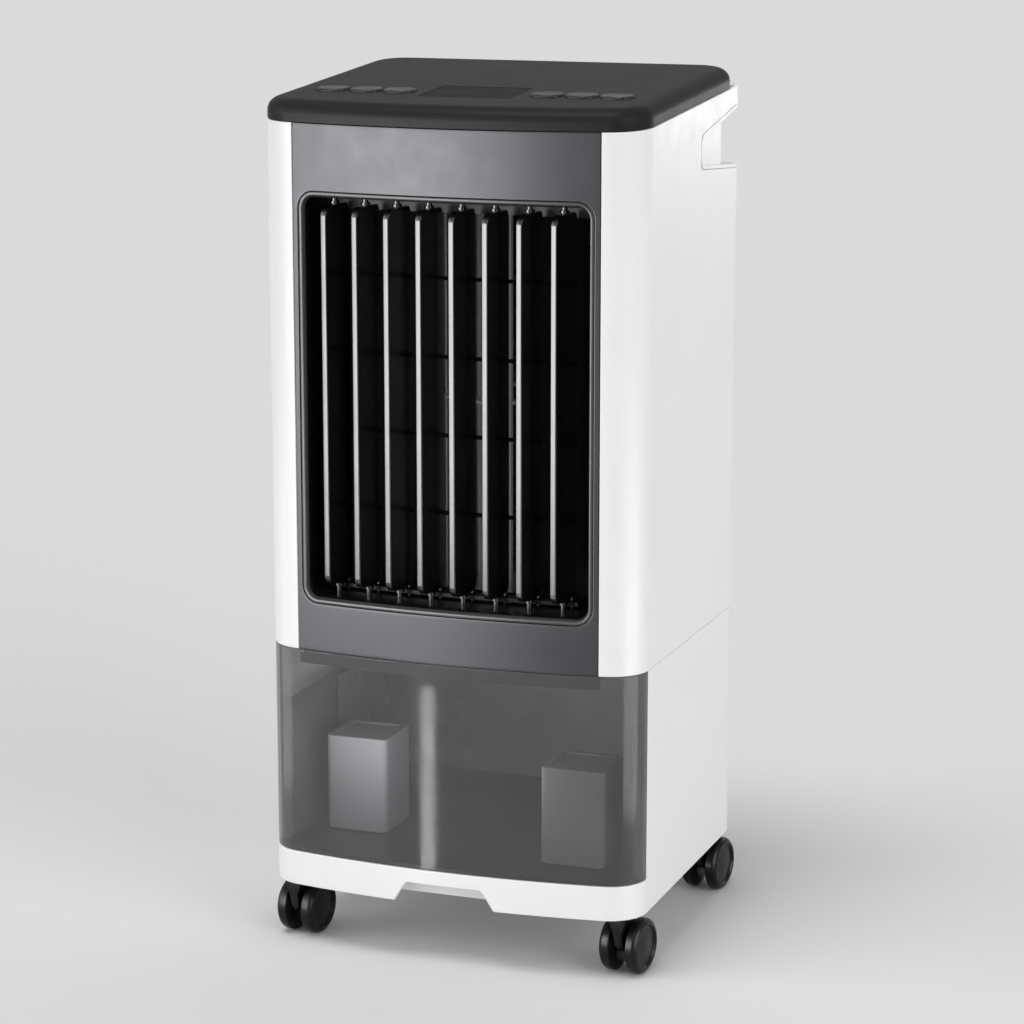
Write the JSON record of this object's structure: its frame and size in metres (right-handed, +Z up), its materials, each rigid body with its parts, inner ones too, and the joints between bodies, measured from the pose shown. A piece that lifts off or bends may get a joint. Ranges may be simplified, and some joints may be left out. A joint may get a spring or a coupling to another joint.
{
  "type": "portable evaporative air cooler",
  "caption": "Free-standing portable evaporative air cooler: upright body on casters, swinging vertical louvres, smoked pull-out water tank, buttons and display on top.",
  "frame": {"origin": "on the floor, under the middle of the plan; the casters stand at Z = 0", "axes": "+X to the object's right-hand side as seen from the front in the picture's view, -Y out of the air outlet, +Z up"},
  "size_m": [0.262, 0.25, 0.5793],
  "materials": {
    "white_shell": "satin moulded",
    "grey_panel": "satin, smooth",
    "cover_grey": "fine satin",
    "black_plastic": "semi-gloss moulded",
    "caster_tread": "hard tread, semi-gloss",
    "smoked_tank": "smoked clear",
    "dark_window": "gloss smoked",
    "ice_box_plastic": "frosted",
    "inner_plastic": "matt moulded",
    "steel": "plated",
    "pad_cellulose": "fluted cellulose",
    "filter_mesh": "woven nylon",
    "hose_rubber": "smooth",
    "circuit_board": "solder mask"
  },
  "bodies": {
    "chassis": {"base_shell": "white_shell", "cord_gland": "black_plastic", "left_side_shell": "white_shell", "right_side_shell": "white_shell", "rear_shell": "white_shell", "handle_liner": "white_shell", "front_panel": "grey_panel", "louvre_frame": "grey_panel", "inner_guard": "black_plastic", "swing_motor": "steel", "top_cover": "cover_grey", "display_window": "dark_window", "receiver_lens": "dark_window", "control_board": "circuit_board", "fan_housing": "inner_plastic", "fan_bearing": "steel", "fan_motor": "steel", "water_hose": "hose_rubber", "water_tray": "inner_plastic", "cooling_pad": "pad_cellulose", "pad_carrier": "inner_plastic"},
    "louvre_1": {"louvre_blade_1": "black_plastic"},
    "louvre_2": {"louvre_blade_2": "black_plastic"},
    "louvre_3": {"louvre_blade_3": "black_plastic"},
    "louvre_4": {"louvre_blade_4": "black_plastic"},
    "louvre_5": {"louvre_blade_5": "black_plastic"},
    "louvre_6": {"louvre_blade_6": "black_plastic"},
    "louvre_7": {"louvre_blade_7": "black_plastic"},
    "louvre_8": {"louvre_blade_8": "black_plastic"},
    "link": {"louvre_link": "black_plastic"},
    "fan": {"fan_wheel": "black_plastic"},
    "tank": {"water_tank": "smoked_tank", "ice_box_left": "ice_box_plastic", "ice_box_right": "ice_box_plastic", "pump_body": "black_plastic"},
    "pump_rotor": {"pump_rotor": "inner_plastic"},
    "grille": {"rear_grille": "white_shell", "dust_filter": "filter_mesh"},
    "button_timer": {"button_timer": "cover_grey"},
    "button_swing": {"button_swing": "cover_grey"},
    "button_mode": {"button_mode": "cover_grey"},
    "button_cool": {"button_cool": "cover_grey"},
    "button_speed": {"button_speed": "cover_grey"},
    "button_power": {"button_power": "cover_grey"},
    "caster_front_left": {"caster_fork_front_left": "black_plastic", "caster_axle_front_left": "steel"},
    "wheel_front_left_a": {"caster_wheel_front_left_a": "caster_tread"},
    "wheel_front_left_b": {"caster_wheel_front_left_b": "caster_tread"},
    "caster_front_right": {"caster_fork_front_right": "black_plastic", "caster_axle_front_right": "steel"},
    "wheel_front_right_a": {"caster_wheel_front_right_a": "caster_tread"},
    "wheel_front_right_b": {"caster_wheel_front_right_b": "caster_tread"},
    "caster_rear_left": {"caster_fork_rear_left": "black_plastic", "caster_axle_rear_left": "steel"},
    "wheel_rear_left_a": {"caster_wheel_rear_left_a": "caster_tread"},
    "wheel_rear_left_b": {"caster_wheel_rear_left_b": "caster_tread"},
    "caster_rear_right": {"caster_fork_rear_right": "black_plastic", "caster_axle_rear_right": "steel"},
    "wheel_rear_right_a": {"caster_wheel_rear_right_a": "caster_tread"},
    "wheel_rear_right_b": {"caster_wheel_rear_right_b": "caster_tread"}
  },
  "joints": [
    {"name": "louvre_1_swing", "type": "hinge", "parent": "chassis", "child": "louvre_1", "pos_m": [-0.0824, -0.09885, 0.2488], "axis": [0, 0, 1], "range_deg": [-27, 43]},
    {"name": "louvre_2_swing", "type": "hinge", "parent": "chassis", "child": "louvre_2", "pos_m": [-0.06, -0.10127, 0.2488], "axis": [0, 0, 1], "range_deg": [-27, 43]},
    {"name": "louvre_3_swing", "type": "hinge", "parent": "chassis", "child": "louvre_3", "pos_m": [-0.0376, -0.10293, 0.2488], "axis": [0, 0, 1], "range_deg": [-27, 43]},
    {"name": "louvre_4_swing", "type": "hinge", "parent": "chassis", "child": "louvre_4", "pos_m": [-0.0152, -0.10383, 0.2488], "axis": [0, 0, 1], "range_deg": [-27, 43]},
    {"name": "louvre_5_swing", "type": "hinge", "parent": "chassis", "child": "louvre_5", "pos_m": [0.0072, -0.10396, 0.2488], "axis": [0, 0, 1], "range_deg": [-27, 43]},
    {"name": "louvre_6_swing", "type": "hinge", "parent": "chassis", "child": "louvre_6", "pos_m": [0.0296, -0.10334, 0.2488], "axis": [0, 0, 1], "range_deg": [-27, 43]},
    {"name": "louvre_7_swing", "type": "hinge", "parent": "chassis", "child": "louvre_7", "pos_m": [0.052, -0.10195, 0.2488], "axis": [0, 0, 1], "range_deg": [-27, 43]},
    {"name": "louvre_8_swing", "type": "hinge", "parent": "chassis", "child": "louvre_8", "pos_m": [0.0744, -0.0998, 0.2488], "axis": [0, 0, 1], "range_deg": [-27, 43]},
    {"name": "louvre_link_slide", "type": "slide", "parent": "chassis", "child": "link", "axis": [1, 0, 0], "range_m": [-0.0096, 0.006]},
    {"name": "fan_spin", "type": "hinge", "parent": "chassis", "child": "fan", "pos_m": [0, -0.008, 0.229], "axis": [0, 0, 1], "continuous": true},
    {"name": "tank_drawer", "type": "slide", "parent": "chassis", "child": "tank", "axis": [0, -1, 0], "range_m": [0, 0.12]},
    {"name": "pump_spin", "type": "hinge", "parent": "tank", "child": "pump_rotor", "pos_m": [0.092, 0.066, 0.0696], "axis": [0, 0, 1], "continuous": true},
    {"name": "rear_grille_pull", "type": "slide", "parent": "chassis", "child": "grille", "axis": [0, 1, 0], "range_m": [0, 0.04]},
    {"name": "button_timer_press", "type": "slide", "parent": "chassis", "child": "button_timer", "axis": [0, 0, -1], "range_m": [0, 0.0012], "stiffness_N_per_m": 300, "springref_m": -0.001},
    {"name": "button_swing_press", "type": "slide", "parent": "chassis", "child": "button_swing", "axis": [0, 0, -1], "range_m": [0, 0.0012], "stiffness_N_per_m": 300, "springref_m": -0.001},
    {"name": "button_mode_press", "type": "slide", "parent": "chassis", "child": "button_mode", "axis": [0, 0, -1], "range_m": [0, 0.0012], "stiffness_N_per_m": 300, "springref_m": -0.001},
    {"name": "button_cool_press", "type": "slide", "parent": "chassis", "child": "button_cool", "axis": [0, 0, -1], "range_m": [0, 0.0012], "stiffness_N_per_m": 300, "springref_m": -0.001},
    {"name": "button_speed_press", "type": "slide", "parent": "chassis", "child": "button_speed", "axis": [0, 0, -1], "range_m": [0, 0.0012], "stiffness_N_per_m": 300, "springref_m": -0.001},
    {"name": "button_power_press", "type": "slide", "parent": "chassis", "child": "button_power", "axis": [0, 0, -1], "range_m": [0, 0.0012], "stiffness_N_per_m": 300, "springref_m": -0.001},
    {"name": "caster_front_left_swivel", "type": "hinge", "parent": "chassis", "child": "caster_front_left", "pos_m": [-0.115, -0.0975, 0.042], "axis": [0, 0, 1], "continuous": true},
    {"name": "wheel_front_left_a_roll", "type": "hinge", "parent": "caster_front_left", "child": "wheel_front_left_a", "pos_m": [-0.12229, -0.08696, 0.0185], "axis": [0.9914, -0.1305, 0], "continuous": true},
    {"name": "wheel_front_left_b_roll", "type": "hinge", "parent": "caster_front_left", "child": "wheel_front_left_b", "pos_m": [-0.10523, -0.0892, 0.0185], "axis": [0.9914, -0.1305, 0], "continuous": true},
    {"name": "caster_front_right_swivel", "type": "hinge", "parent": "chassis", "child": "caster_front_right", "pos_m": [0.115, -0.0975, 0.042], "axis": [0, 0, 1], "continuous": true},
    {"name": "wheel_front_right_a_roll", "type": "hinge", "parent": "caster_front_right", "child": "wheel_front_right_a", "pos_m": [0.10771, -0.08696, 0.0185], "axis": [0.9914, -0.1305, 0], "continuous": true},
    {"name": "wheel_front_right_b_roll", "type": "hinge", "parent": "caster_front_right", "child": "wheel_front_right_b", "pos_m": [0.12477, -0.0892, 0.0185], "axis": [0.9914, -0.1305, 0], "continuous": true},
    {"name": "caster_rear_left_swivel", "type": "hinge", "parent": "chassis", "child": "caster_rear_left", "pos_m": [-0.115, 0.084, 0.042], "axis": [0, 0, 1], "continuous": true},
    {"name": "wheel_rear_left_a_roll", "type": "hinge", "parent": "caster_rear_left", "child": "wheel_rear_left_a", "pos_m": [-0.12229, 0.09454, 0.0185], "axis": [0.9914, -0.1305, 0], "continuous": true},
    {"name": "wheel_rear_left_b_roll", "type": "hinge", "parent": "caster_rear_left", "child": "wheel_rear_left_b", "pos_m": [-0.10523, 0.0923, 0.0185], "axis": [0.9914, -0.1305, 0], "continuous": true},
    {"name": "caster_rear_right_swivel", "type": "hinge", "parent": "chassis", "child": "caster_rear_right", "pos_m": [0.115, 0.084, 0.042], "axis": [0, 0, 1], "continuous": true},
    {"name": "wheel_rear_right_a_roll", "type": "hinge", "parent": "caster_rear_right", "child": "wheel_rear_right_a", "pos_m": [0.10771, 0.09454, 0.0185], "axis": [0.9914, -0.1305, 0], "continuous": true},
    {"name": "wheel_rear_right_b_roll", "type": "hinge", "parent": "caster_rear_right", "child": "wheel_rear_right_b", "pos_m": [0.12477, 0.0923, 0.0185], "axis": [0.9914, -0.1305, 0], "continuous": true}
  ],
  "couplings": [
    {"joint": "louvre_1_swing", "follows": "louvre_5_swing", "ratio": 1},
    {"joint": "louvre_2_swing", "follows": "louvre_5_swing", "ratio": 1},
    {"joint": "louvre_3_swing", "follows": "louvre_5_swing", "ratio": 1},
    {"joint": "louvre_4_swing", "follows": "louvre_5_swing", "ratio": 1},
    {"joint": "louvre_6_swing", "follows": "louvre_5_swing", "ratio": 1},
    {"joint": "louvre_7_swing", "follows": "louvre_5_swing", "ratio": 1},
    {"joint": "louvre_8_swing", "follows": "louvre_5_swing", "ratio": 1},
    {"joint": "louvre_link_slide", "follows": "louvre_5_swing", "m_per_rad": -0.0122}
  ]
}
